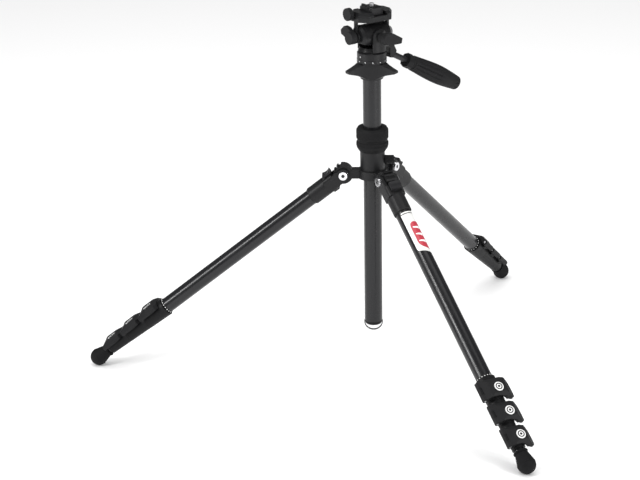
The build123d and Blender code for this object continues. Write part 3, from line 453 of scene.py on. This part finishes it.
# ---------------------------------------------------------------- handle grip
GRIP_START, GRIP_LENGTH = 30.0, 101.0
GRIP_FRONT, GRIP_MIDDLE, GRIP_END = 10.3, 13.2, 9.8


def grip_radius(share):
    """Grip's outer radius along its length, 0 at the collar and 1 at the butt."""
    if share < 0.09:
        return GRIP_FRONT
    if share < 0.62:
        rise = (share - 0.09) / 0.53
        return GRIP_FRONT + (GRIP_MIDDLE - GRIP_FRONT) * sin(rise * pi / 2) ** 1.2
    fall = (share - 0.62) / 0.38
    return GRIP_MIDDLE - (GRIP_MIDDLE - GRIP_END) * fall ** 1.5


def smooth_step(low, high, value):
    share = min(1.0, max(0.0, (value - low) / (high - low)))
    return share * share * (3 - 2 * share)


def make_grip():
    steps, rows = 144, 110
    verts, faces = [], []
    for row in range(rows + 1):
        share = row / rows
        radius = grip_radius(share)
        groove = smooth_step(0.13, 0.17, share) * (1 - smooth_step(0.60, 0.68, share))
        collar = 1 - smooth_step(0.085, 0.10, share)
        neck = smooth_step(0.085, 0.095, share) * (1 - smooth_step(0.115, 0.13, share))
        notch = smooth_step(0.90, 0.93, share) * (1 - smooth_step(0.985, 0.99, share))
        for step in range(steps):
            turn = tau * step / steps
            wave = abs((turn * 12 / tau) % 1 - 0.5) * 2          # 1 on a groove's centre line
            local_radius = radius - 1.3 * groove * smooth_step(0.55, 0.95, wave)
            facet = (turn % (tau / 8)) - tau / 16
            local_radius -= collar * (radius - radius * cos(tau / 16) / cos(facet))
            local_radius -= 1.2 * neck
            slots = abs((turn * 10 / tau) % 1 - 0.5) * 2
            local_radius -= 1.0 * notch * smooth_step(0.6, 0.9, slots)
            verts.append((local_radius * cos(turn), local_radius * sin(turn), GRIP_START + GRIP_LENGTH * share))
    for row in range(rows):
        for step in range(steps):
            after = (step + 1) % steps
            faces.append((row * steps + step, row * steps + after, (row + 1) * steps + after, (row + 1) * steps + step))
    faces.append(tuple(reversed(range(steps))))
    faces.append(tuple(range(rows * steps, (rows + 1) * steps)))
    return verts, faces


grip = add_piece("grip_moulding", make_grip(), handle_frame, "handle", "grip_rubber", smooth_deg=35)
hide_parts("handle_grip")

# ---------------------------------------------------------------- floor, lights and camera
floor_mesh = bpy.data.meshes.new("floor")
HALF_FLOOR = 20.0
floor_mesh.from_pydata([(-HALF_FLOOR, -HALF_FLOOR, 0), (HALF_FLOOR, -HALF_FLOOR, 0),
                        (HALF_FLOOR, HALF_FLOOR, 0), (-HALF_FLOOR, HALF_FLOOR, 0)], [], [(0, 1, 2, 3)])
floor = bpy.data.objects.new("floor", floor_mesh)
bpy.context.scene.collection.objects.link(floor)
paper = bpy.data.materials.new("paper")
paper.use_nodes = True
paper.node_tree.nodes["Principled BSDF"].inputs["Base Color"].default_value = (0.92, 0.92, 0.92, 1)
paper.node_tree.nodes["Principled BSDF"].inputs["Roughness"].default_value = 0.9
floor_mesh.materials.append(paper)

world = bpy.data.worlds.new("studio")
world.use_nodes = True
sky = world.node_tree.nodes["Background"]
sky.inputs["Color"].default_value = (1, 1, 1, 1)
rays = world.node_tree.nodes.new("ShaderNodeLightPath")
glow = world.node_tree.nodes.new("ShaderNodeMapRange")
glow.inputs["To Min"].default_value = 0.82      # what lights matt surfaces and shows behind the floor
glow.inputs["To Max"].default_value = 0.18      # what glossy blacks mirror: a dim room
world.node_tree.links.new(rays.outputs["Is Glossy Ray"], glow.inputs["Value"])
world.node_tree.links.new(glow.outputs["Result"], sky.inputs["Strength"])
bpy.context.scene.world = world


def area_light(name, place, target, size, power):
    light = bpy.data.lights.new(name, "AREA")
    light.shape = "RECTANGLE"
    light.size, light.size_y = size
    light.energy = power
    holder = bpy.data.objects.new(name, light)
    holder.location = place
    holder.rotation_euler = (Vector(target) - Vector(place)).to_track_quat("-Z", "Y").to_euler()
    bpy.context.scene.collection.objects.link(holder)


bpy.context.scene.view_settings.view_transform = "Standard"
middle = (0, 0, 0.28)
area_light("key", (-1.9, -1.1, 1.2), middle, (0.20, 1.8), 34)
area_light("fill", (1.7, -1.5, 1.0), middle, (0.20, 1.8), 26)
area_light("top", (0, 0.3, 2.4), middle, (2.2, 2.2), 22)

CAMERA_PLACE = (0.0385, -2.6286, 1.1562)
CAMERA_YAW, CAMERA_PITCH, CAMERA_ROLL = radians(-2.45), radians(20.18), radians(-0.95)
CAMERA_LENS = 113.05
forward = Vector((sin(CAMERA_YAW) * cos(CAMERA_PITCH), cos(CAMERA_YAW) * cos(CAMERA_PITCH), -sin(CAMERA_PITCH)))
level_right = forward.cross(Vector((0, 0, 1))).normalized()
level_up = level_right.cross(forward)
right = level_right * cos(CAMERA_ROLL) + level_up * sin(CAMERA_ROLL)
camera_data = bpy.data.cameras.new("camera")
camera_data.lens = CAMERA_LENS
camera_data.sensor_width = 36.0
camera = bpy.data.objects.new("camera", camera_data)
camera.matrix_world = basis(CAMERA_PLACE, right, -forward)
bpy.context.scene.collection.objects.link(camera)
bpy.context.scene.camera = camera

bpy.context.view_layer.update()
